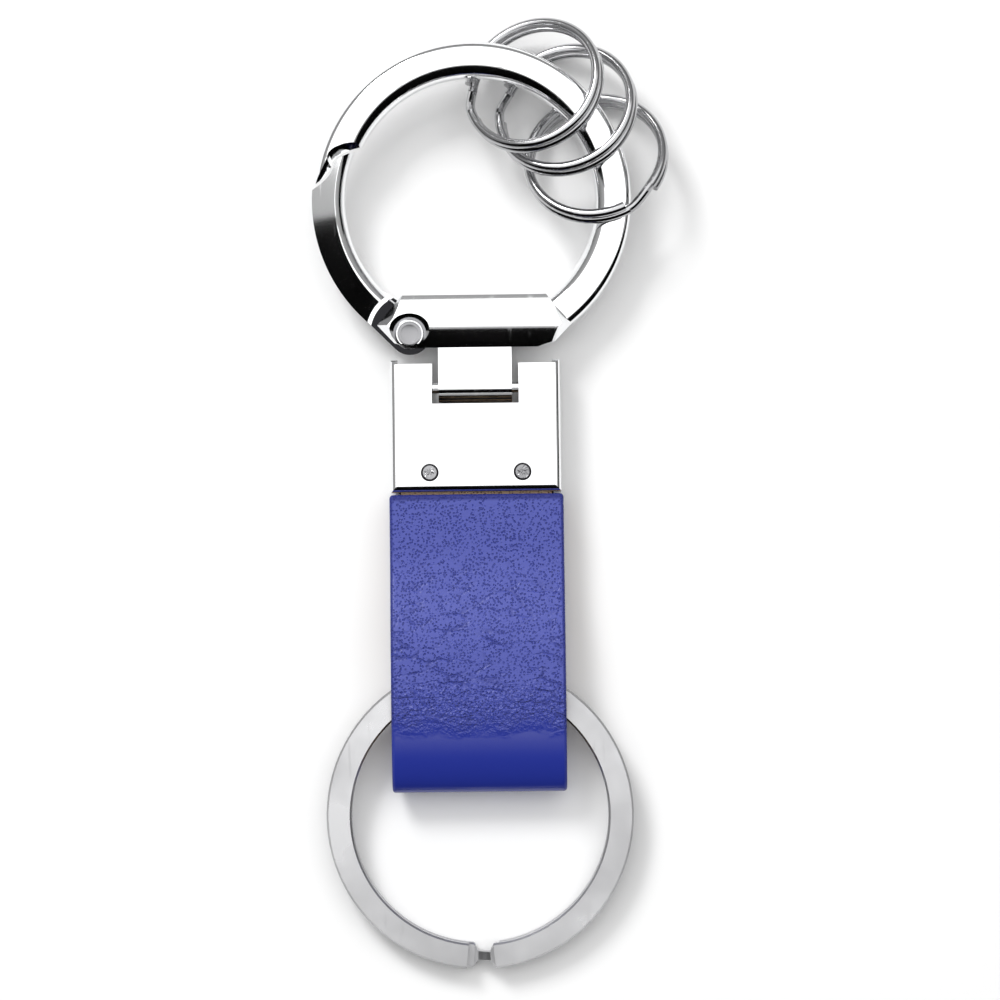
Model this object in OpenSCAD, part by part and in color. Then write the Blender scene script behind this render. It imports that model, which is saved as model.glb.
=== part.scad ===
// Leather strap key fob: a riveted clasp carries a gated ring carabiner on a hinge,
// and a folded leather strap with a large split ring in its loop.
// +Y runs from the strap to the carabiner and +Z points away from the table.
// The origin is the centre of the clasp's flat back face.

/* [Clasp] */
// Width of the clasp
clasp_w = 17.8; // [14:0.1:22]
// Length of the clasp from its leather mouth to its top edge
clasp_l = 13.9; // [12:0.1:18]
// Thickness of the clasp
clasp_t = 5.0; // [4.6:0.1:6.5]
// Thickness of the clasp's walls
clasp_wall = 0.8; // [0.6:0.05:1]
// Radius of the clasp's long corners
clasp_corner_r = 0.7; // [0.3:0.05:1]
// Width of the notch that the hinge lug stands in
notch_w = 9.1; // [8.6:0.1:10]
// How much lower the front wall's top edge is than the back wall's
front_step = 0.9; // [0.4:0.1:1.2]

/* [Hinge] */
// Distance from the clasp's top edge down to the hinge pin
pin_inset = 2.75; // [2.4:0.05:3.2]
// Radius of the hinge pin
pin_r = 0.6; // [0.45:0.05:0.75]
// Width of the hinge lug
lug_w = 7.7; // [5:0.1:8]
// Radius of the lug's barrel around the pin
barrel_r = 1.6; // [1.3:0.05:1.65]
// Radial clearance of the pin in the lug
running_clearance = 0.05; // [0.03:0.01:0.1]

/* [Carabiner] */
// Outer radius of the round frame
frame_r = 16.6; // [14:0.1:20]
// Width of the frame's band, seen from above
band_w = 3.8; // [3.2:0.1:4.6]
// Thickness of the band
band_t = 3.6; // [3:0.1:4.3]
// Rounding of the band's outer edges
band_round = 0.9; // [0.5:0.05:1.2]
// Width of the hinge bar between its two pointed ends
bar_w = 20.4; // [19:0.1:24]
// Length of the hinge bar's flat top edge
bar_top_w = 15.2; // [14:0.1:16]
// Height of the hinge bar, along the fob
bar_h = 5.5; // [5:0.1:6.5]
// Thickness of the hinge bar at the crest of its dome
bar_t = 5.2; // [4.6:0.1:6]
// Width of the facets on the hinge bar's pointed ends
bar_facet = 1.1; // [0.6:0.1:1.5]
// Distance from the pin to the bar
bar_gap = 4.2; // [4:0.1:5.5]

/* [Gate] */
// Distance from the middle of the bar to the gate's pivot
pivot_x = 6.8; // [6.3:0.1:7.2]
// Radius of the pivot rivet
pivot_r = 0.9; // [0.7:0.05:1]
// Radius of the pivot rivet's heads
pivot_head_r = 1.3; // [1.1:0.05:1.45]
// Radius around the pivot that the gate's full thickness stays out of
gate_relief_r = 4.6; // [4.4:0.05:5]
// Thickness of the gate's tongue
tongue_t = 1.05; // [0.8:0.05:1.2]
// Clearance between the gate and the frame's nose
lap_gap = 0.22; // [0.15:0.01:0.3]
// Width of the bevel along the frame's nose
nose_bevel = 0.7; // [0.3:0.05:0.9]
// Slope of the gate's outer face, in degrees
gate_slope = 21; // [10:1:24]
// Thickness of the spring's wire
spring_wire = 0.34; // [0.24:0.02:0.36]

/* [Strap] */
// Width of the leather strap
strap_w = 18.2; // [14:0.1:22]
// Distance from the clasp's mouth to the end of the fold
strap_l = 31.3; // [28:0.1:38]
// Thickness of the outer leather
cover_t = 0.8; // [0.6:0.05:0.9]
// Thickness of the lining leather
lining_t = 0.7; // [0.5:0.05:0.8]
// Room over the large ring in the strap's loop
loop_room = 0.87; // [0.6:0.01:1.6]
// Length of the folded end's curve
fold_l = 6.5; // [5:0.1:8]
// Gap between the clasp's mouth and the outer leather
mouth_gap = 0.25; // [0.1:0.05:0.5]
// Length of the stiff core below the clasp's mouth
core_l = 5.0; // [3:0.1:6]
// Spacing of the two rivets
rivet_spacing = 9.7; // [7:0.1:12]
// Distance from the clasp's mouth to the rivets
rivet_inset = 2.05; // [1.6:0.05:3]
// Radius of the rivets' heads
rivet_head_r = 0.82; // [0.7:0.02:1]

/* [Split rings] */
// Outer diameter of the large split ring
large_od = 32.0; // [28:0.5:36]
// Width of the large ring's flat wire
large_band = 2.6; // [2.2:0.1:3]
// Thickness of one turn of the large ring
large_wire_t = 1.27; // [1:0.01:1.3]
// Outer diameter of the small split rings
small_od = 15.3; // [13:0.1:18]
// Diameter of the small rings' round wire
small_wire = 1.0; // [0.8:0.05:1.2]
// Gap between the two turns of a split ring
turn_gap = 0.04; // [0.02:0.01:0.08]

/* [Hidden] */
$fn = 64;
chrome = [0.86, 0.87, 0.88];
nickel = [0.62, 0.63, 0.65];
blue = [0.16, 0.21, 0.55];
tan_hide = [0.66, 0.50, 0.35];
fit = 0.1; // side clearance of pieces that lie in one another
past = 1; // how far a cut runs past the face that it opens

// Clasp and hinge
mid_z = clasp_t / 2;
clasp_top = clasp_l / 2;
mouth_y = -clasp_l / 2;
pin_y = clasp_top - pin_inset;
notch_floor = pin_y - barrel_r - 0.3;
edge_r = clasp_wall - 0.1;
swing_gap = 0.12; // between the folding gate's tongue and the clasp's back wall

// Carabiner, measured from the pin
band_mid_r = frame_r - band_w / 2;
band_inner_round = band_t / 2 - 0.2;
bar_join = 0.51; // how far outside the bar's top corners the band's inner edge meets the bar's line
arc_rise = sqrt(pow(frame_r - band_w, 2) - pow(bar_top_w / 2 + bar_join, 2));
arc_y = bar_gap + bar_h + arc_rise;
bar_mid_y = bar_gap + bar_h / 2;
dome_drop = (bar_t - band_t) / 2;
dome_r = (pow(bar_h / 2, 2) + pow(dome_drop, 2)) / (2 * dome_drop);
arc_end = -asin((arc_rise + 0.36) / (frame_r - band_w));
slot_right = -lug_w / 2 - 0.1;

// Gate: the lap joint steps down through the band
pivot_y = bar_gap + 1.5;
gate_band_w = band_w - 0.3;
gate_out = 0.3;
lap_r = frame_r - 1.3;
lap_inner_a = 147.3;
lap_step_a = 161;
lap_step_end_a = 169;
lap_outer_a = 177.3;
lap_turn = asin(lap_gap / lap_r) + 0.15;
tongue_r = pivot_r + 1.3;
swing_r = pivot_y - tongue_r - swing_gap;
coil_r = pivot_r + 0.55;
coil_pitch = spring_wire + 0.06;
coil_start_a = 51;
coil_end_a = -630;
coil_rise = coil_pitch * (coil_start_a - coil_end_a) / 360;
slot_t = 0.1 + tongue_t + 0.1 + spring_wire + coil_rise + 0.05;
tongue_z = -slot_t / 2 + 0.1;
coil_z = tongue_z + tongue_t + 0.1 + spring_wire / 2;
rivet_seat_z = slot_t / 2 + 0.85;
pivot_head_t = 0.45;

// Strap
large_stack = 2 * large_wire_t + turn_gap;
strap_ring_t = 2 * (cover_t + lining_t) + large_stack + loop_room;
core_space = clasp_t - 2 * clasp_wall - 2 * lining_t - 2 * fit;
strap_t = 2 * (cover_t + lining_t) + core_space;
strap_z = mid_z - strap_t / 2;
strap_end = mouth_y - strap_l;
flare_y = mouth_y - core_l - 1;
ring_tuck = 13.65; // from the end of the fold to the hidden edge of the large ring
flare_end = strap_end + ring_tuck + 0.2;
fold_mid_y = strap_end + fold_l;
core_top = mouth_y + 5.4;
tucked_w = clasp_w - 2 * clasp_wall - 0.4;
rivet_shaft_r = 0.55;
rivet_y = mouth_y + rivet_inset;
rivet_head_t = 0.4;

// Large split ring
large_mid_r = (large_od - large_band) / 2;
loop_z = strap_z + cover_t + lining_t;
large_z = loop_z + large_stack / 2 - 0.45;
large_lean = asin((large_z - large_stack / 2 - 0.02) / (large_od / 2));
large_y = strap_end + ring_tuck - large_od / 2;
large_seam_a = 271;
large_seam_half = 4.5;
large_seam_gap = 2.3;

// Small split rings: each leans over the frame's band, over one edge and under the other
small_stack = 2 * small_wire + turn_gap;
small_mid_r = (small_od - small_wire) / 2;
small_reach = band_mid_r - 1;
small_lean = asin((band_t / 2 + small_stack / 2 + 0.8) / small_mid_r);
fan_r = small_reach - small_mid_r / 2;
fan_1_2 = 2 * asin((small_stack - 0.46) / (2 * fan_r * sin(small_lean)));
fan_2_3 = 2 * asin((small_stack + 0.2) / (2 * fan_r * sin(small_lean)));
small_a = [61.5, 61.5 - fan_1_2, 61.5 - fan_1_2 - fan_2_3];
small_z = [0.2, -0.55, -0.6];
small_rise = [1.3, 0.7, 0];
small_seam_a = [131, 127, -66];
small_seam_half = 13;
small_seam_gap = 3;

// The carabiner rests on the small rings, so it tips up about the pin
function ring_depth(i) = -small_z[i] + small_mid_r * sin(small_lean)
    + layer_offset(small_stack) * cos(small_lean) + small_wire / 2;
function ring_depth_y(i) = arc_y + small_reach * sin(small_a[i])
    + small_mid_r * cos(small_lean) * cos(small_a[i]);
carabiner_tip = max([for (i = [0:2]) asin((ring_depth(i) - mid_z + 0.03) / ring_depth_y(i))]);

function layer_offset(stack) = (stack + turn_gap) / 4; // of each turn's middle from the ring's middle
function polar(r, a) = [r * cos(a), r * sin(a)];
function smooth(t) = t <= 0 ? 0 : t >= 1 ? 1 : t * t * (3 - 2 * t);
function unit(v) = v / norm(v);
// A line of points with each corner cut off, between the same ends
function cut_corners(p) = concat([p[0]],
    [for (i = [0:len(p) - 2], t = [0.25, 0.75]) p[i] * (1 - t) + p[i + 1] * t], [p[len(p) - 1]]);

function joined(lists) = [for (l = lists) for (item = l) item];

// A rectangle with round corners, centred
module rounded_rect(w, h, r) {
    square([w - 2 * r, h], center = true);
    square([w, h - 2 * r], center = true);
    for (x = [-1, 1], y = [-1, 1]) translate([x * (w / 2 - r), y * (h / 2 - r)]) circle(r);
}

// Lays a profile drawn in Y and Z along X, centred
module along_x(w) {
    rotate([90, 0, 90]) linear_extrude(w, center = true) children();
}

// Moves carabiner pieces from the pin's frame to their place, tipped up
module on_carabiner() {
    translate([0, pin_y, mid_z]) rotate([carabiner_tip, 0, 0]) children();
}

module at_pivot() {
    translate([-pivot_x, pivot_y, 0]) children();
}

// A solid skinned over a row of loops that all have the same number of points
module skin(loops) {
    n = len(loops[0]);
    m = len(loops);
    start = [[for (k = [0:n - 1]) k]];
    end = [[for (k = [n - 1:-1:0]) (m - 1) * n + k]];
    sides = [for (i = [0:m - 2], k = [0:n - 1])
        [i * n + k, (i + 1) * n + k, (i + 1) * n + (k + 1) % n, i * n + (k + 1) % n]];
    polyhedron(joined(loops), concat(start, sides, end), convexity = 6);
}

// A round loop of points around p, square to the direction d
function wire_loop(p, d, r, n) = let (side = unit(cross(d, [0, 0, 1])), up = cross(side, d))
    [for (k = [0:n - 1]) p + r * (cos(k * 360 / n) * side - sin(k * 360 / n) * up)];

// A round wire along a path of points
module wire(path, r, n) {
    last = len(path) - 1;
    skin([for (i = [0:last])
        wire_loop(path[i], unit(path[min(i + 1, last)] - path[max(i - 1, 0)]), r, n)]);
}

// ---- Clasp ----

// Side view of the clasp, its back edge curved round the pin so the gate folds past it
module clasp_side() {
    intersection() {
        rounded_rect(clasp_l, clasp_t, edge_r);
        union() {
            translate([pin_y, 0]) circle(swing_r);
            translate([-clasp_l, -clasp_t]) square([clasp_l + pin_y, 2 * clasp_t]);
            translate([-clasp_l, 0]) square([2 * clasp_l, clasp_t]);
        }
    }
}

module clasp_body() {
    intersection() {
        translate([0, 0, mid_z]) rotate([90, 0, 0])
            linear_extrude(clasp_l, center = true) rounded_rect(clasp_w, clasp_t, clasp_corner_r);
        translate([0, 0, mid_z]) along_x(clasp_w + past) clasp_side();
    }
}

module rivet_places() {
    for (x = [-1, 1]) translate([x * rivet_spacing / 2, rivet_y, mid_z]) children();
}

module clasp_shell() {
    inside_w = clasp_w - 2 * clasp_wall;
    inside_t = clasp_t - 2 * clasp_wall;
    sunk_r = rivet_head_r + 0.13;
    sunk_depth = rivet_head_t + 0.05;
    color(chrome) difference() {
        clasp_body();
        translate([0, 0, mid_z]) cube([inside_w, clasp_l + past, inside_t], center = true);
        translate([-notch_w / 2, notch_floor, -past]) cube([notch_w, clasp_l, clasp_t + 2 * past]);
        translate([-inside_w / 2, clasp_top - front_step, mid_z]) cube([inside_w, clasp_l, clasp_t]);
        translate([0, pin_y, mid_z]) rotate([0, 90, 0]) cylinder(h = clasp_w + past, r = pin_r, center = true);
        rivet_places() {
            cylinder(h = clasp_t + past, r = rivet_shaft_r + 0.03, center = true);
            for (side = [-1, 1]) translate([0, 0, side * (clasp_t / 2 - sunk_depth + past / 2)])
                cylinder(h = past, r = sunk_r, center = true);
        }
    }
}

module strap_rivets() {
    color(chrome) rivet_places() {
        cylinder(h = clasp_t - rivet_head_t, r = rivet_shaft_r, center = true);
        for (side = [0, 180]) rotate([side, 0, 0]) translate([0, 0, clasp_t / 2 - rivet_head_t - 0.03])
            cylinder(h = rivet_head_t, r1 = rivet_head_r, r2 = rivet_head_r - 0.1);
    }
}

module hinge_pin() {
    color(chrome) translate([0, pin_y, mid_z]) rotate([0, 90, 0])
        cylinder(h = clasp_w - 0.1, r = pin_r, center = true);
}

// ---- Carabiner ----

// The lap joint's line from the inside of the band to its outside
function lap_line(turn, draw_in) = cut_corners(cut_corners([
    polar(lap_r - 3.8, lap_inner_a + turn), polar(lap_r - draw_in, lap_step_a + turn),
    polar(lap_r - draw_in, lap_step_end_a + turn), polar(lap_r + 2.7, lap_outer_a + turn)
]));

// The side of the lap joint that belongs to the gate
function gate_side(turn, draw_in) = let (far = 2 * frame_r, near = lap_r - 3.8)
    concat(lap_line(turn, draw_in),
        [polar(far, lap_outer_a + 8), polar(far, 215), polar(far, 250), polar(near, 250), polar(near, 200)]);

// The space beside the frame's nose, wider at both faces so that it bevels the nose
module nose_cut() {
    level = band_t / 2 - nose_bevel;
    widen = nose_bevel + 0.5;
    skin([for (z = [-level - widen, -level, level, level + widen])
        let (w = abs(z) > level + 0.01 ? widen : 0)
        [for (p = gate_side(-w / lap_r * 180 / PI, -w)) [p.x, p.y, z]]]);
}

// Section of the band with its rounder inner side at the left
module band_section(w) {
    intersection() {
        translate([band_inner_round, 0]) rounded_rect(w + 2 * band_inner_round, band_t, band_inner_round);
        translate([-band_round, 0]) rounded_rect(w + 2 * band_round, band_t, band_round);
    }
}

// Section of the gate: a ridge near its inner side, and faces that slope down to the outer side
module gate_section() {
    ridge_x = -gate_band_w / 4;
    outer_h = band_t / 2 - (gate_band_w / 2 - ridge_x) * tan(gate_slope);
    intersection() {
        band_section(gate_band_w);
        polygon([[-gate_band_w, band_t / 2], [ridge_x, band_t / 2], [gate_band_w / 2, outer_h],
                 [gate_band_w / 2, -outer_h], [ridge_x, -band_t / 2], [-gate_band_w, -band_t / 2]]);
    }
}

module frame_band() {
    translate([0, arc_y, 0]) difference() {
        rotate_extrude(angle = 180 - arc_end, start = arc_end)
            translate([band_mid_r, 0]) band_section(band_w);
        nose_cut();
    }
}

// The large cylinder that curves the bar's front or back
module bar_dome(side) {
    translate([0, bar_mid_y, side * (dome_r - bar_t / 2)]) rotate([0, 90, 0])
        cylinder(h = bar_w + past, r = dome_r, center = true, $fn = 96);
}

module bar() {
    top_y = bar_gap + bar_h;
    tip_y = bar_gap + bar_h * 0.44;
    foot_x = bar_w / 2 - 3.5;
    facet_z = bar_t / 2 - bar_facet;
    rise = bar_facet + 0.3;
    intersection() {
        skin([for (z = [-facet_z - rise, -facet_z, facet_z, facet_z + rise])
            let (inset = abs(z) > facet_z + 0.01 ? rise : 0, right = [
                [foot_x - 0.2 * inset, bar_gap], [bar_w / 2 - 1.8 - 0.5 * inset, bar_gap + 0.5],
                [bar_w / 2 - inset, tip_y], [bar_top_w / 2 - 0.2 * inset, top_y]])
            [for (p = concat(right, [for (i = [3:-1:0]) [-right[i].x, right[i].y]])) [p.x, p.y, z]]]);
        bar_dome(-1);
        bar_dome(1);
    }
}

module lug() {
    lug_t = 2 * barrel_r - 0.2;
    along_x(lug_w) {
        circle(barrel_r);
        translate([0, -lug_t / 2]) square([bar_gap + 1, lug_t]);
    }
}

module carabiner_frame() {
    color(chrome) on_carabiner() difference() {
        union() {
            frame_band();
            bar();
            lug();
        }
        rotate([0, 90, 0]) cylinder(h = lug_w + past, r = pin_r + running_clearance, center = true);
        translate([-bar_w, 0, -slot_t / 2]) cube([bar_w + slot_right, bar_gap + bar_h + past, slot_t]);
        at_pivot() {
            cylinder(h = bar_t + past, r = pivot_r, center = true);
            for (side = [0, 180]) rotate([side, 0, 0]) translate([0, 0, rivet_seat_z])
                cylinder(h = past, r1 = pivot_head_r + 0.1, r2 = pivot_head_r + 0.1 + 1.5 * past);
        }
    }
}

module gate_pivot_rivet() {
    dish_r = pivot_head_r - 0.4;
    color(chrome) on_carabiner() at_pivot() difference() {
        union() {
            cylinder(h = 2 * rivet_seat_z + 0.1, r = pivot_r, center = true);
            for (side = [0, 180]) rotate([side, 0, 0]) translate([0, 0, rivet_seat_z])
                cylinder(h = pivot_head_t, r1 = pivot_head_r, r2 = pivot_head_r - 0.12);
        }
        for (side = [0, 180]) rotate([side, 0, 0]) translate([0, 0, rivet_seat_z + pivot_head_t - 0.3])
            cylinder(h = past, r = dish_r);
    }
}

module carabiner_gate() {
    gate_mid_r = frame_r + gate_out - gate_band_w / 2;
    tongue_tip = polar(gate_mid_r, 224) + [pivot_x, arc_y - pivot_y];
    color(chrome) on_carabiner() {
        difference() {
            union() {
                difference() {
                    translate([0, arc_y, 0]) intersection() {
                        rotate_extrude(angle = 84, start = 149)
                            translate([gate_mid_r, 0]) gate_section();
                        linear_extrude(2 * band_t, center = true) polygon(gate_side(lap_turn, lap_gap));
                    }
                    at_pivot() cylinder(h = 2 * band_t, r = gate_relief_r, center = true);
                }
                at_pivot() translate([0, 0, tongue_z]) linear_extrude(tongue_t) hull() {
                    circle(tongue_r);
                    translate(tongue_tip) circle(1.7);
                }
            }
            at_pivot() cylinder(h = slot_t, r = pivot_r + running_clearance, center = true);
        }
    }
}

module gate_spring() {
    coil_steps = 34;
    turn_angle = coil_end_a - coil_start_a;
    leg_dir = polar(1, coil_start_a + 90);
    first = polar(coil_r, coil_start_a);
    gate_leg = [for (l = [4, 2.2]) [first.x + l * leg_dir.x, first.y + l * leg_dir.y, coil_z]];
    coil = [for (i = [0:coil_steps]) let (a = coil_start_a + turn_angle * i / coil_steps)
        [coil_r * cos(a), coil_r * sin(a), coil_z + coil_rise * i / coil_steps]];
    bar_leg = [for (l = [1.3, 2.6]) [l, coil_r, coil_z + coil_rise]];
    color(nickel) on_carabiner() at_pivot() wire(concat(gate_leg, coil, bar_leg), spring_wire / 2, 8);
}

// ---- Strap ----

function strap_top(y) = strap_z + strap_t
    + (strap_ring_t - strap_t) * smooth((flare_y - y) / (flare_y - flare_end));

// Side view of the folded strap, in Y and Z
module strap_side() {
    steps = 12;
    open_end = core_top + 3 * past;
    upper_y = [for (i = [0:steps]) open_end + (fold_mid_y - open_end) * i / steps];
    fold_h = strap_ring_t / 2;
    polygon(concat(
        [for (y = upper_y) [y, strap_top(y)]],
        [for (a = [80:-10:-80]) [fold_mid_y - fold_l * cos(a), strap_z + fold_h + fold_h * sin(a)]],
        [[fold_mid_y, strap_z], [open_end, strap_z]]
    ));
}

// One leather layer of the fold, between two depths below its outer surface
module strap_layer(depth, thickness) {
    difference() {
        offset(delta = -depth) strap_side();
        offset(delta = -depth - thickness) strap_side();
    }
}

module strap_cover() {
    cover_top = mouth_y - mouth_gap;
    color(blue) intersection() {
        along_x(strap_w) strap_layer(0, cover_t);
        translate([-strap_w, cover_top - 2 * strap_l, -strap_l]) cube([2 * strap_w, 2 * strap_l, 2 * strap_l]);
    }
}

module strap_lining() {
    lining_w = strap_w - 0.4;
    color(tan_hide) difference() {
        along_x(lining_w) strap_layer(cover_t + 0.02, lining_t - 0.02);
        translate([-strap_w, core_top, -past]) cube([2 * strap_w, strap_l, strap_l]);
        for (side = [-1, 1]) translate([side * (tucked_w + strap_w) / 2, mouth_y - mouth_gap + strap_l / 2, 0])
            cube([strap_w, strap_l, strap_l], center = true);
        rivet_places() cylinder(h = clasp_t, r = rivet_shaft_r + running_clearance, center = true);
    }
}

module strap_core() {
    core_t = core_space - 2 * fit;
    core_bottom = mouth_y - core_l;
    color(tan_hide) difference() {
        translate([-tucked_w / 2, core_bottom, mid_z - core_t / 2]) cube([tucked_w, core_top - core_bottom, core_t]);
        rivet_places() cylinder(h = clasp_t, r = rivet_shaft_r + running_clearance, center = true);
    }
}

// ---- Split rings ----

// Both turns of a split ring, each open at the seam, with the step between them
module split_ring(mid_r, stack, seam_a, seam_half, seam_gap) {
    layer_z = layer_offset(stack);
    sweep = 360 - 2 * seam_half - seam_gap;
    translate([0, 0, layer_z]) rotate_extrude(angle = sweep, start = seam_a + seam_half)
        translate([mid_r, 0]) children();
    translate([0, 0, -layer_z]) rotate_extrude(angle = sweep, start = seam_a + seam_half + seam_gap)
        translate([mid_r, 0]) children();
}

module large_split_ring() {
    bevel = 0.2;
    w = large_band / 2 - bevel;
    h = large_wire_t / 2 - bevel;
    section = [[-w - bevel, h], [-w, h + bevel], [w, h + bevel], [w + bevel, h],
               [w + bevel, -h], [w, -h - bevel], [-w, -h - bevel], [-w - bevel, -h]];
    layer_z = layer_offset(large_stack);
    neck = 0.4;
    tuck = 1; // degrees that the step runs on inside each turn
    span = large_seam_half + tuck;
    stations = [-1, -0.75, -0.45, -0.2, 0.2, 0.45, 0.75, 1];
    color(nickel) translate([0, large_y, large_z]) rotate([large_lean, 0, 0]) {
        split_ring(large_mid_r, large_stack, large_seam_a, large_seam_half, large_seam_gap)
            polygon(section);
        skin([for (t = stations) let (
            a = large_seam_a + span * t,
            pinch = abs(t) > 0.6 ? 0.94 : neck,
            z = layer_z * (2 * smooth((t + 0.7) / 1.4) - 1))
            [for (p = section) let (r = large_mid_r + p.x * pinch) [r * cos(a), r * sin(a), z + p.y * 0.94]]]);
    }
}

module small_split_ring(i) {
    layer_z = layer_offset(small_stack);
    tuck = 2;
    span = small_seam_half + tuck;
    steps = 8;
    color(nickel) on_carabiner() translate([0, arc_y, 0]) rotate([0, 0, small_a[i]])
        translate([small_reach, 0, small_z[i]]) rotate([-small_lean, 0, 0])
        rotate([0, asin(small_rise[i] / small_mid_r), 0]) {
            split_ring(small_mid_r, small_stack, small_seam_a[i], small_seam_half, small_seam_gap)
                circle(small_wire / 2);
            wire([for (k = [0:steps]) let (t = 2 * k / steps - 1, a = small_seam_a[i] + span * t)
                [small_mid_r * cos(a), small_mid_r * sin(a), layer_z * (2 * smooth((t + 0.85) / 1.7) - 1)]],
                0.485 * small_wire, 12);
        }
}

clasp_shell();
strap_rivets();
hinge_pin();
strap_core();
carabiner_frame();
gate_pivot_rivet();
gate_spring();
carabiner_gate();
strap_cover();
strap_lining();
large_split_ring();
small_split_ring(0);  // small_split_ring_1
small_split_ring(1);  // small_split_ring_2
small_split_ring(2);  // small_split_ring_3
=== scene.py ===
import math

import bpy
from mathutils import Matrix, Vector


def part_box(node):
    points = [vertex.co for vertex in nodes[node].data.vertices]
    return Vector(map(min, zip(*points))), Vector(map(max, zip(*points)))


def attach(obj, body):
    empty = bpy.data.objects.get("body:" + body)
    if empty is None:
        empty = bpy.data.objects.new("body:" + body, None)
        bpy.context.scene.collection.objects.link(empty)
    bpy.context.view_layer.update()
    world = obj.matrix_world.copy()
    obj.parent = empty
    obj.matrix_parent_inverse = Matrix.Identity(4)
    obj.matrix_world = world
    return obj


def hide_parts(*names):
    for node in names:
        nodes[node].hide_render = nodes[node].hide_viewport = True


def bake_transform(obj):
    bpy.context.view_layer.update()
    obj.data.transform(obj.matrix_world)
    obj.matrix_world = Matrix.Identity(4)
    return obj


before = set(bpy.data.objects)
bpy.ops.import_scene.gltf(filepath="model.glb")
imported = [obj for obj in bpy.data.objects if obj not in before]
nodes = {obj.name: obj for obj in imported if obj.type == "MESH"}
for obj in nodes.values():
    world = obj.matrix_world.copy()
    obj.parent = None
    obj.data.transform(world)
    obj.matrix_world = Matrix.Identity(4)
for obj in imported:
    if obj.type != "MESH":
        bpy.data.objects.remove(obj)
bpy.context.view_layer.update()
MM = 0.001
SHARP = math.radians(50)  # edges that turn more than this are rounded


# ---- Edit tools ----

def select_none():
    """Leaves edit mode and deselects everything."""
    if bpy.context.mode != "OBJECT":
        bpy.ops.object.mode_set(mode="OBJECT")
    bpy.ops.object.select_all(action="DESELECT")


def named(name):
    """Names the primitive that was just added, and its mesh."""
    obj = bpy.context.object
    obj.name = name
    obj.data.name = name
    return obj


def use(obj):
    """Selects one object alone and makes it active."""
    select_none()
    obj.select_set(True)
    bpy.context.view_layer.objects.active = obj


def apply_place(obj):
    """Moves an object's place, turn and size into its mesh."""
    use(obj)
    bpy.ops.object.transform_apply(location=True, rotation=True, scale=True)


def apply_modifier(obj, kind, **settings):
    """Adds a modifier with its settings and applies it."""
    use(obj)
    modifier = obj.modifiers.new(kind.lower(), kind)
    for key, value in settings.items():
        setattr(modifier, key, value)
    bpy.ops.object.modifier_apply(modifier=modifier.name)


def pick(obj, kind, test):
    """Selects an object's vertices, edges or faces by a test, and goes to edit mode."""
    use(obj)
    bpy.ops.object.mode_set(mode="EDIT")
    bpy.ops.mesh.select_mode(type={"vertices": "VERT", "edges": "EDGE", "polygons": "FACE"}[kind])
    bpy.ops.mesh.select_all(action="DESELECT")
    bpy.ops.object.mode_set(mode="OBJECT")
    for part in getattr(obj.data, kind):
        part.select = test(part)
    bpy.ops.object.mode_set(mode="EDIT")


def step_in(obj, test, steps):
    """Insets the picked faces again and again, each step going in and up or down by its own amounts."""
    pick(obj, "polygons", test)
    for inwards, upwards in steps:
        bpy.ops.mesh.inset(thickness=inwards * MM, depth=upwards * MM)
    bpy.ops.object.mode_set(mode="OBJECT")


def smooth(obj, angle):
    """Shades smooth, with edges sharper than this angle in degrees kept crisp."""
    use(obj)
    bpy.ops.object.shade_smooth_by_angle(angle=math.radians(angle))


def cad_copy(part, name):
    """A merged copy of a CAD node, to be worked on as a new piece."""
    select_none()
    obj = bpy.data.objects.new(name, nodes[part].data.copy())
    obj.data.name = name
    bpy.context.scene.collection.objects.link(obj)
    use(obj)
    bpy.ops.mesh.customdata_custom_splitnormals_clear()
    bpy.ops.object.mode_set(mode="EDIT")
    bpy.ops.mesh.select_all(action="SELECT")
    bpy.ops.mesh.remove_doubles(threshold=1e-6)
    bpy.ops.object.mode_set(mode="OBJECT")
    return obj


def dress(obj, material):
    """Gives a piece one material all over."""
    obj.data.materials.clear()
    obj.data.materials.append(material)


# ---- Shader groups ----

def new_group(name, inputs, outputs):
    """A shader node group with float inputs (name: default) and named outputs (name: type)."""
    group = bpy.data.node_groups.new(name, "ShaderNodeTree")
    for label, default in inputs.items():
        socket = group.interface.new_socket(name=label, in_out="INPUT", socket_type="NodeSocketFloat")
        socket.default_value = default
    for label, kind in outputs.items():
        group.interface.new_socket(name=label, in_out="OUTPUT", socket_type=kind)
    return group, group.nodes.new("NodeGroupInput"), group.nodes.new("NodeGroupOutput")


def node(tree, kind, links=None, **settings):
    """Adds a node, sets its properties, and links or sets its inputs by name or number."""
    made = tree.nodes.new(kind)
    for key, value in settings.items():
        setattr(made, key, value)
    for key, value in (links or {}).items():
        socket = made.inputs[key]
        if isinstance(value, bpy.types.NodeSocket):
            tree.links.new(value, socket)
        else:
            socket.default_value = value
    return made


def math_node(tree, operation, *values):
    """A Math node's result."""
    return node(tree, "ShaderNodeMath", dict(enumerate(values)), operation=operation).outputs[0]


def map_range(tree, value, low, high, to_low=0.0, to_high=1.0, smooth_steps=False):
    """Brings a value from one range to another, clamped at its ends, evenly or with soft ends."""
    made = node(tree, "ShaderNodeMapRange", {"Value": value, "From Min": low, "From Max": high,
                                             "To Min": to_low, "To Max": to_high})
    if smooth_steps:
        made.interpolation_type = "SMOOTHSTEP"
    return made.outputs[0]


def noise(tree, place, scale, detail, rough=0.5):
    """A cloudy noise, mostly between 0 and 1."""
    return node(tree, "ShaderNodeTexNoise", {
        "Vector": place, "Scale": scale, "Detail": detail, "Roughness": rough}).outputs[0]


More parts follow.
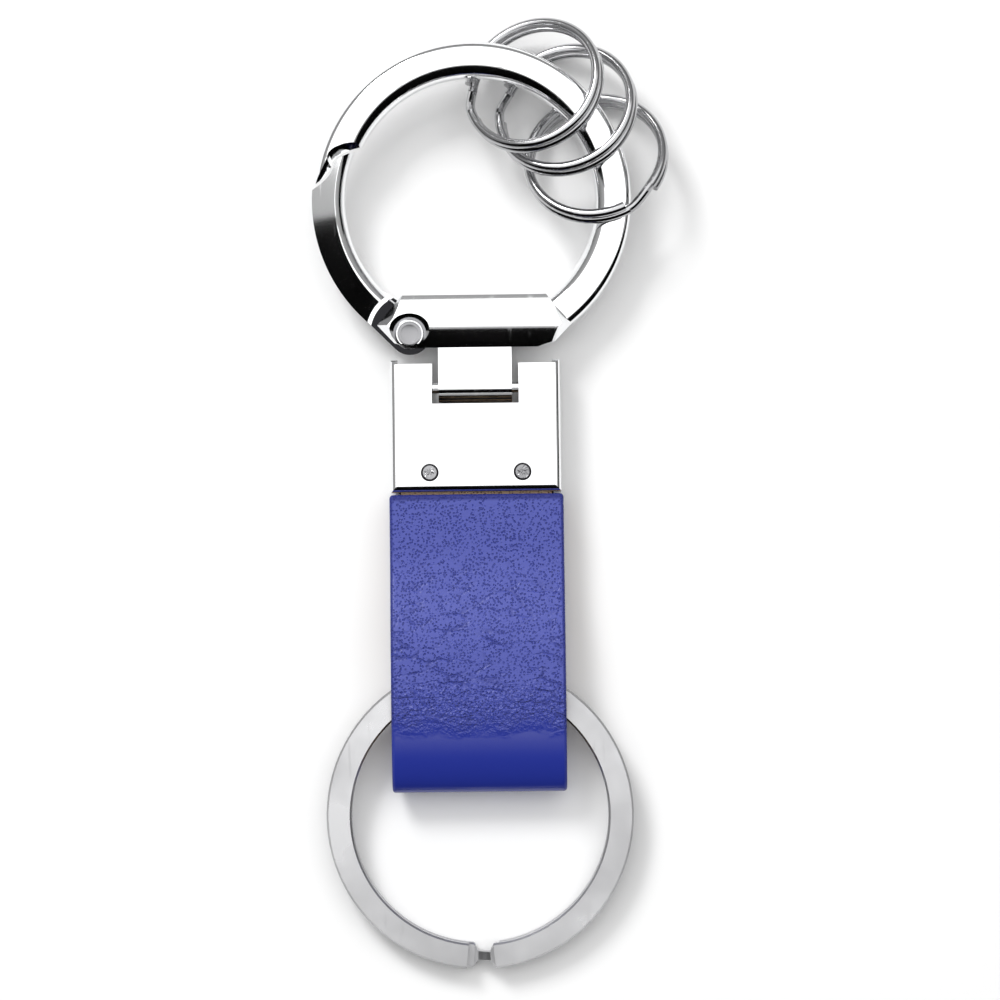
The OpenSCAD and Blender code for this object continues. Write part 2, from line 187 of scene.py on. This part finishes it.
def build_handling_wear():
    """Fine hairline scratches and faint smudges, as polished metal gets from handling."""
    group, source, sink = new_group(
        "handling_wear", {"Scratch Scale": 900.0, "Smudge Scale": 120.0},
        {"Scratches": "NodeSocketFloat", "Smudges": "NodeSocketFloat"})
    place = node(group, "ShaderNodeTexCoord").outputs["Object"]
    scratches = None
    for turn, stretch in ((0.4, 0.06), (1.9, 0.08), (2.8, 0.05)):
        turned = node(group, "ShaderNodeMapping", {
            "Vector": place, "Rotation": (0.3, 0.2, turn), "Scale": (1.0, stretch, 1.0)}).outputs[0]
        thin = map_range(group, noise(group, turned, source.outputs["Scratch Scale"], 2.0, 0.6), 0.66, 0.78)
        scratches = thin if scratches is None else math_node(group, "MAXIMUM", scratches, thin)
    smudge = noise(group, place, source.outputs["Smudge Scale"], 3.0, 0.55)
    group.links.new(scratches, sink.inputs["Scratches"])
    group.links.new(map_range(group, smudge, 0.35, 0.75), sink.inputs["Smudges"])
    return group


def build_leather_grain():
    """Fine pores, wavy creases across the strap, and smoother leather where the fold stretches it."""
    group, source, sink = new_group(
        "leather_grain", {"Pore Scale": 3700.0, "Crease Scale": 760.0, "Crease Start": -0.012,
                          "Crease Full": -0.026, "Fold Start": -0.0298, "Fold Full": -0.0326},
        {"Pores": "NodeSocketFloat", "Creases": "NodeSocketFloat", "Height": "NodeSocketFloat",
         "Stretched": "NodeSocketFloat"})
    place = node(group, "ShaderNodeTexCoord").outputs["Object"]
    bent = node(group, "ShaderNodeTexNoise", {
        "Vector": place, "Scale": 900.0, "Detail": 3.0}).outputs["Color"]
    warped, nudged = [
        node(group, "ShaderNodeVectorMath", {0: bent, 1: (amount,) * 3, 2: place},
             operation="MULTIPLY_ADD").outputs[0] for amount in (0.9 * MM, 0.3 * MM)]
    dots = node(group, "ShaderNodeTexVoronoi", {"Vector": nudged, "Scale": source.outputs["Pore Scale"],
                                                "Randomness": 0.9}).outputs["Distance"]
    pores = map_range(group, dots, 0.22, 0.46, 1.0, 0.0, True)
    patchy = noise(group, place, 420.0, 4.0, 0.65)
    pores = math_node(group, "MULTIPLY", pores, map_range(group, patchy, 0.3, 0.5, 0.6, 1.0))
    wide = node(group, "ShaderNodeMapping", {"Vector": warped, "Scale": (0.3, 1.0, 0.5)}).outputs[0]
    cracks = node(group, "ShaderNodeTexVoronoi", {"Vector": wide, "Scale": source.outputs["Crease Scale"]},
                  feature="DISTANCE_TO_EDGE").outputs["Distance"]
    creases = map_range(group, cracks, 0.0, 0.09, 0.95, 0.0, True)
    breaks = noise(group, place, 420.0, 3.0)
    along = node(group, "ShaderNodeSeparateXYZ", {"Vector": place}).outputs["Y"]
    worn = map_range(group, along, source.outputs["Crease Start"], source.outputs["Crease Full"], 0.12, 1.0)
    creases = math_node(group, "MULTIPLY", creases, map_range(group, breaks, 0.4, 0.6))
    creases = math_node(group, "MULTIPLY", creases, worn)
    swell = noise(group, wide, 900.0, 3.0)
    pebbles = noise(group, place, 2300.0, 2.0)
    crushed = map_range(group, along, source.outputs["Crease Full"], source.outputs["Fold Start"], 0.3, 4.5)
    swell = math_node(group, "MULTIPLY", math_node(group, "MULTIPLY", swell, worn), 0.9)
    swell = math_node(group, "MULTIPLY_ADD", pebbles, crushed, swell)
    uneven = 2.2 * MM
    ragged = math_node(group, "MULTIPLY_ADD", breaks, uneven, math_node(group, "ADD", along, -uneven / 2))
    stretched = map_range(group, ragged, source.outputs["Fold Start"], source.outputs["Fold Full"],
                          smooth_steps=True)
    kept = math_node(group, "SUBTRACT", 1.0, stretched)
    pores = math_node(group, "MULTIPLY", pores, kept)
    creases = math_node(group, "MULTIPLY", creases, kept)
    swell = math_node(group, "MULTIPLY", swell, kept)
    marks = math_node(group, "ADD", math_node(group, "MULTIPLY", pores, 0.55), creases)
    group.links.new(pores, sink.inputs["Pores"])
    group.links.new(creases, sink.inputs["Creases"])
    group.links.new(math_node(group, "SUBTRACT", swell, marks), sink.inputs["Height"])
    group.links.new(stretched, sink.inputs["Stretched"])
    return group


handling_wear = build_handling_wear()
leather_grain = build_leather_grain()


# ---- Materials ----

# colour of the painted shade on metal that sits recessed
PAINTED_SHADE = (0.02, 0.02, 0.022)


def new_material(name):
    """A new material, with its tree and its surface shader."""
    material = bpy.data.materials.new(name)
    material.use_nodes = True
    tree = material.node_tree
    return material, tree, tree.nodes["Principled BSDF"]


def object_place(tree):
    """The X, Y and Z of a point on the piece."""
    place = node(tree, "ShaderNodeTexCoord").outputs["Object"]
    return node(tree, "ShaderNodeSeparateXYZ", {"Vector": place})


def mix_colour(tree, amount, first, second):
    """One colour passing over into another."""
    return node(tree, "ShaderNodeMix", {"Factor": amount, 6: first, 7: second}, data_type="RGBA").outputs[2]


def metal(name, light, dark, rough, scratch_scale, scratch_depth):
    """A plated or bare metal: its tint varies a little, and wear roughens it."""
    material, tree, surface = new_material(name)
    wear = node(tree, "ShaderNodeGroup", node_tree=handling_wear)
    wear.inputs["Scratch Scale"].default_value = scratch_scale
    tint = mix_colour(tree, wear.outputs["Smudges"], (*light, 1), (*dark, 1))
    tree.links.new(tint, surface.inputs["Base Color"])
    surface.inputs["Metallic"].default_value = 1.0
    worn = math_node(tree, "MULTIPLY_ADD", wear.outputs["Smudges"], rough * 0.6, rough)
    worn = math_node(tree, "MULTIPLY_ADD", wear.outputs["Scratches"], 0.12, worn)
    tree.links.new(worn, surface.inputs["Roughness"])
    bump = node(tree, "ShaderNodeBump", {"Height": wear.outputs["Scratches"], "Strength": scratch_depth,
                                         "Distance": 0.02 * MM}, invert=True).outputs[0]
    tree.links.new(bump, surface.inputs["Normal"])
    return material


def darkened_near(material, centre, shade_r, both_sides=False):
    """Darkens the metal close to an upright axis, or to two left and right, as painted shade where it sits
    recessed.
    """
    tree = material.node_tree
    surface = tree.nodes["Principled BSDF"]
    place = object_place(tree)
    across = place.outputs["X"]
    if both_sides:
        across = math_node(tree, "ABSOLUTE", across)
    across = math_node(tree, "SUBTRACT", across, centre[0])
    along = math_node(tree, "SUBTRACT", place.outputs["Y"], centre[1])
    far = math_node(tree, "SQRT", math_node(tree, "ADD", math_node(tree, "MULTIPLY", across, across),
                                            math_node(tree, "MULTIPLY", along, along)))
    # painted shade inside this radius, none outside
    shaded = map_range(tree, far, shade_r - 0.03 * MM, shade_r, 1.0, 0.0)
    unshaded = surface.inputs["Base Color"].links[0].from_socket
    tree.links.new(mix_colour(tree, shaded, unshaded, (*PAINTED_SHADE, 1)), surface.inputs["Base Color"])
    return material


CHROME_LOOK = ((0.93, 0.935, 0.94), (0.88, 0.885, 0.895), 0.075, 900.0, 0.08)
chrome = metal("polished_chrome", *CHROME_LOOK)
gate_chrome = metal("gate_chrome", *CHROME_LOOK)
clasp_chrome = metal("clasp_chrome", *CHROME_LOOK)
nickel = metal("satin_nickel", (0.60, 0.60, 0.61), (0.50, 0.50, 0.51), 0.27, 1500.0, 0.2)
ring_steel = metal("ring_steel", (0.50, 0.50, 0.51), (0.40, 0.40, 0.41), 0.12, 1500.0, 0.2)
rivet_steel = metal("rivet_steel", (0.34, 0.34, 0.35), (0.22, 0.22, 0.23), 0.16, 1500.0, 0.3)
spring = metal("spring_steel", (0.55, 0.55, 0.56), (0.45, 0.45, 0.46), 0.22, 1500.0, 0.25)


UNPAINTED = 1.0  # a metre away, so past every edge


def leather(name, deep, light, rough, coat, depth, half_width=UNPAINTED, mouth=UNPAINTED):
    """Dyed leather, darker in its pores, its creases and its painted edges, with painted shade along its
    mouth and over its stretched fold, and a finish coat over it.
    """
    material, tree, surface = new_material(name)
    grain = node(tree, "ShaderNodeGroup", node_tree=leather_grain)
    marks = math_node(tree, "MAXIMUM", grain.outputs["Pores"], grain.outputs["Creases"])
    place = object_place(tree)
    across = math_node(tree, "ABSOLUTE", place.outputs["X"])
    painted = map_range(tree, across, half_width - 0.4 * MM, half_width - 0.15 * MM, 0.0, 0.8, True)
    # painted shade along the mouth, where the cover goes in under the clasp
    mouth_shade = map_range(tree, place.outputs["Y"], mouth - 0.8 * MM, mouth - 0.4 * MM, 0.0, 0.95, True)
    painted = math_node(tree, "MAXIMUM", painted, mouth_shade)
    marks = math_node(tree, "MAXIMUM", math_node(tree, "MULTIPLY", marks, 0.8), painted)
    stretched = grain.outputs["Stretched"]
    # painted shade: the stretched fold gets a darker colour besides its smoother grain
    fold_shade_colour = (0.8 * light[0], 0.8 * light[1], 0.85 * light[2], 1)
    tint = mix_colour(tree, marks, (*light, 1), (*deep, 1))
    tree.links.new(mix_colour(tree, stretched, tint, fold_shade_colour), surface.inputs["Base Color"])
    dry = map_range(tree, marks, 0.0, 1.0, rough, rough + 0.3)
    shiny = math_node(tree, "MULTIPLY", stretched, 0.45 * rough)
    tree.links.new(math_node(tree, "SUBTRACT", dry, shiny), surface.inputs["Roughness"])
    surface.inputs["Specular IOR Level"].default_value = coat
    surface.inputs["Coat Roughness"].default_value = 0.3
    dull = math_node(tree, "MAXIMUM", marks, math_node(tree, "MULTIPLY", stretched, 0.8))
    tree.links.new(map_range(tree, dull, 0.0, 1.0, coat, 0.0), surface.inputs["Coat Weight"])
    bump = node(tree, "ShaderNodeBump", {"Height": grain.outputs["Height"], "Strength": depth,
                                         "Distance": 0.1 * MM}).outputs[0]
    tree.links.new(bump, surface.inputs["Normal"])
    return material


cover_low, cover_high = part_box("strap_cover")
blue_leather = leather("blue_leather", (0.006, 0.013, 0.17), (0.021, 0.038, 0.33), 0.34, 0.5, 1.0,
                       cover_high.x, cover_high.y)
tan_leather = leather("tan_leather", (0.16, 0.09, 0.045), (0.42, 0.29, 0.18), 0.6, 0.2, 1.0)
fibre_board = leather("fibre_board", (0.02, 0.02, 0.02), (0.07, 0.068, 0.065), 0.7, 0.1, 0.6)


# ---- Metal pieces ----

TONGUE_R = 4.2 * MM  # of the gate's tongue round its pivot, painted in shade where it sits in the bar's slot
DISH_DEPTH = 0.3 * MM  # of the pivot rivet's dished heads
DISH_STEPS = ((0.14, -0.1), (0.3, -0.16), (0.1, 0.0), (0.1, 0.08), (0.14, 0.2))  # in and up, in millimetres
RIVET_HEAD_R = 0.82 * MM
SEAT_R = RIVET_HEAD_R + 0.13 * MM  # of the seats that the strap's rivets are peened into, painted in shade in a thin ring round each head
PEEN_STEPS = ((0.07, 0.0), (0.16, 0.0), (0.16, 0.0), (0.16, 0.0))  # in and up, in millimetres
HAMMER_R = RIVET_HEAD_R - 0.15 * MM
HAMMER_DENTS = 0.03 * MM
NEAR = 0.02 * MM  # how close to a level a face or a vertex lies to count as on it

pivot_low, pivot_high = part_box("gate_pivot_rivet")
pivot_centre = ((pivot_low.x + pivot_high.x) / 2, (pivot_low.y + pivot_high.y) / 2)
rivets_low, rivets_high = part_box("strap_rivets")
rivet_centre = (rivets_high.x - RIVET_HEAD_R, (rivets_low.y + rivets_high.y) / 2)

for name in ("hinge_pin", "carabiner_frame"):
    dress(nodes[name], chrome)
# painted shade on the gate's tongue round its pivot, where it sits in the bar's slot
dress(nodes["carabiner_gate"], darkened_near(gate_chrome, pivot_centre, TONGUE_R))
# painted shade in a thin ring round each rivet head, where it meets the shell
dress(nodes["clasp_shell"], darkened_near(clasp_chrome, rivet_centre, SEAT_R, both_sides=True))
dress(nodes["large_split_ring"], nickel)
for name in ("small_split_ring_1", "small_split_ring_2", "small_split_ring_3"):
    dress(nodes[name], ring_steel)
dress(nodes["gate_spring"], spring)
dress(nodes["strap_core"], fibre_board)

# The gate's rivet, its dished heads formed down to a ring round a small peak
pivot = cad_copy("gate_pivot_rivet", "gate_pivot_rivet_formed")
for side, rim_z in ((1, pivot_high.z), (-1, pivot_low.z)):
    dish_z = rim_z - side * DISH_DEPTH
    step_in(pivot, lambda f: f.normal.z * side > 0.9 and abs(f.center.z - dish_z) < NEAR, DISH_STEPS)
apply_modifier(pivot, "BEVEL", width=0.07 * MM, segments=3, limit_method="ANGLE", angle_limit=SHARP)
smooth(pivot, 40)
dress(pivot, rivet_steel)
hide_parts("gate_pivot_rivet")
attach(pivot, "carabiner")

# The strap's rivets, their ends dented by the hammer
peened = cad_copy("strap_rivets", "strap_rivets_peened")
for side, top_z in ((1, rivets_high.z), (-1, rivets_low.z)):
    step_in(peened, lambda f: f.normal.z * side > 0.9 and abs(f.center.z - top_z) < NEAR, PEEN_STEPS)
    pick(peened, "vertices", lambda v: abs(v.co.z - top_z) < NEAR / 4
         and math.dist((abs(v.co.x), v.co.y), rivet_centre) < HAMMER_R)
    bpy.ops.transform.vertex_random(offset=HAMMER_DENTS, seed=4)
    bpy.ops.object.mode_set(mode="OBJECT")
dress(peened, rivet_steel)
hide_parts("strap_rivets")
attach(peened, "clasp")


# ---- Leather pieces ----

COVER_T = 0.8 * MM
LINING_T = 0.66 * MM
LINING_DEPTH = 0.82 * MM  # of the lining's outer side below the cover's
TUCKED_W = 15.8 / 17.8  # width of the lining inside the clasp, as a share of its width outside
EDGE_ROUND = 0.38 * MM
MOUTH_FRONT_Z = 4.9 * MM  # height of the strap's front where it leaves the clasp
FLARE_START, FLARE_END = -12.95 * MM, -24.4 * MM  # where it rises from there to its full height
FOLD_LENGTH = 6.5 * MM
SAG = 0.55 * MM
SAG_START = 5.5 * MM  # before the fold
SAG_LENGTH = 8 * MM
STEP = 0.4 * MM  # between two rows of faces along the front
BACK_ROWS = 60

mouth_y = cover_high.y
back_z, front_z = cover_low.z, cover_high.z
bend_y = cover_low.y + FOLD_LENGTH
lining_low, lining_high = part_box("strap_lining")


def strip(name, line, width, columns):
    """A strip of leather extruded step by step along a line of (y, z) points."""
    (y0, z0), (y1, z1) = line[:2]
    select_none()
    bpy.ops.mesh.primitive_grid_add(x_subdivisions=columns, y_subdivisions=1, size=1,
                                    location=(0, (y0 + y1) / 2, (z0 + z1) / 2),
                                    rotation=(math.atan2(z0 - z1, y0 - y1), 0, 0))
    obj = named(name)
    obj.scale = (width, math.dist(line[0], line[1]), 1)
    apply_place(obj)
    pick(obj, "vertices", lambda v: v.co.y < (y0 + y1) / 2)
    for (ya, za), (yb, zb) in zip(line[1:], line[2:]):
        bpy.ops.mesh.extrude_region_move(TRANSFORM_OT_translate={"value": (0, yb - ya, zb - za)})
    bpy.ops.object.mode_set(mode="OBJECT")
    return obj


def eased(t):
    """Runs from 0 to 1 with a soft start and end."""
    t = min(max(t, 0.0), 1.0)
    return t * t * (3 - 2 * t)


def sag(y):
    """How far the front of the strap has sunk here, on its way into the fold."""
    return SAG * eased((bend_y + SAG_START - y) / SAG_LENGTH)


def strap_line(depth, top):
    """Side view of the folded strap, this deep below its outer side, from the front round to the back."""
    middle = (front_z + back_z) / 2
    half = (front_z - back_z) / 2 - depth
    reach = FOLD_LENGTH - depth
    front = []
    y = top
    while y > bend_y + STEP / 2:
        flare = eased((FLARE_START - y) / (FLARE_START - FLARE_END))
        front.append((y, MOUTH_FRONT_Z + (front_z - MOUTH_FRONT_Z) * flare - depth - sag(y)))
        y -= STEP
    bend = []
    for degrees in range(90, -91, -6):
        turn = math.radians(degrees)
        y = bend_y - reach * math.cos(turn)
        bend.append((y, middle + half * math.sin(turn) - sag(y) * max(0, math.sin(turn))))
    back = [(bend_y + (top - bend_y) * k / BACK_ROWS, back_z + depth) for k in range(1, BACK_ROWS + 1)]
    return front + bend + back


cover = strip("strap_cover_leather", strap_line(0, mouth_y), cover_high.x - cover_low.x, 44)
apply_modifier(cover, "SOLIDIFY", thickness=COVER_T, offset=-1, use_even_offset=True)
apply_modifier(cover, "BEVEL", width=EDGE_ROUND, segments=4, limit_method="ANGLE", angle_limit=SHARP)
smooth(cover, 60)
dress(cover, blue_leather)
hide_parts("strap_cover")
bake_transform(cover)

lining = strip("strap_lining_leather", strap_line(LINING_DEPTH, lining_high.y),
               lining_high.x - lining_low.x, 30)
apply_modifier(lining, "SOLIDIFY", thickness=LINING_T, offset=-1, use_even_offset=True)
smooth(lining, 40)
pick(lining, "vertices", lambda v: v.co.y > mouth_y - NEAR / 2)
bpy.ops.transform.resize(value=(TUCKED_W, 1, 1), center_override=(0, 0, 0))
bpy.ops.object.mode_set(mode="OBJECT")
dress(lining, tan_leather)
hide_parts("strap_lining")
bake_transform(lining)


# ---- Studio ----

select_none()
bpy.ops.mesh.primitive_plane_add(size=6, location=(0, 0, 0))
floor = named("studio_floor")
floor_material, _, floor_surface = new_material("studio_floor")
floor_surface.inputs["Base Color"].default_value = (0.9, 0.9, 0.9, 1)
floor_surface.inputs["Roughness"].default_value = 0.9
floor_surface.inputs["Specular IOR Level"].default_value = 0.1
dress(floor, floor_material)


def black_flag(name, size, location, rotation):
    """A black board beside the camera that only shows in the metal's reflections."""
    select_none()
    bpy.ops.mesh.primitive_plane_add(size=1, location=location, rotation=rotation)
    flag = named(name)
    flag.scale = (*size, 1)
    apply_place(flag)
    material, _, surface = new_material(name)
    surface.inputs["Base Color"].default_value = (0.0, 0.0, 0.0, 1)
    surface.inputs["Roughness"].default_value = 1.0
    surface.inputs["Specular IOR Level"].default_value = 0.0
    dress(flag, material)
    flag.visible_camera = False
    flag.visible_diffuse = False
    flag.visible_shadow = False


QUARTER_TURN = math.pi / 2
black_flag("south_flag", (2.6, 1.0), (0, -0.69, 0.5), (0, 0, 0))
black_flag("south_low_flag", (2.6, 0.5), (0, -1.19, 0.26), (QUARTER_TURN, 0, 0))
black_flag("west_flag", (1.0, 0.5), (-0.80, -0.35, 0.5), (0, 0, math.radians(11)))
black_flag("west_low_flag", (1.0, 0.5), (-1.3, -0.72, 0.26), (QUARTER_TURN, 0, QUARTER_TURN))
black_flag("east_low_flag", (1.6, 0.5), (1.3, -0.4, 0.26), (QUARTER_TURN, 0, QUARTER_TURN))

world = bpy.data.worlds.new("studio")
bpy.context.scene.world = world
world.use_nodes = True
sky = world.node_tree
height = node(sky, "ShaderNodeSeparateXYZ", {"Vector": node(sky, "ShaderNodeTexCoord").outputs["Generated"]})
room = map_range(sky, height.outputs["Z"], 0.0, 0.9, 0.16, 0.5)
seen = node(sky, "ShaderNodeLightPath").outputs["Is Camera Ray"]
shown = node(sky, "ShaderNodeMix", {"Factor": seen, 2: room, 3: 0.9}).outputs[0]
sky.links.new(shown, sky.nodes["Background"].inputs["Strength"])
sky.nodes["Background"].inputs["Color"].default_value = (1, 1, 1, 1)


def softbox(name, energy, size, location, target):
    """A soft rectangular lamp that points at its target."""
    light = bpy.data.lights.new(name, "AREA")
    light.shape = "RECTANGLE"
    light.size, light.size_y = size
    light.energy = energy
    obj = bpy.data.objects.new(name, light)
    obj.location = location
    obj.rotation_euler = (Vector(target) - Vector(location)).to_track_quat("-Z", "Y").to_euler()
    bpy.context.scene.collection.objects.link(obj)


softbox("top_softbox", 4.6, (1.3, 1.0), (0, 0.30, 0.7), (0, 0.30, 0))
softbox("key_softbox", 6.5, (0.35, 0.35), (-0.45, 0.7, 0.75), (0, 0, 0))

select_none()
aim = Vector((2.1, -7.7, 2.5)) * MM
far = 0.42
lean = math.radians(4)
turn = math.radians(-0.7)
bpy.ops.object.camera_add(location=aim + far * Vector((0, -math.sin(lean), math.cos(lean))),
                          rotation=(lean, 0, turn))
camera = bpy.context.object
camera.name = "studio_camera"
camera.data.lens = 144
camera.data.sensor_width = 36
camera.data.clip_start = 0.01
bpy.context.scene.camera = camera
bpy.context.scene.view_settings.view_transform = "Standard"
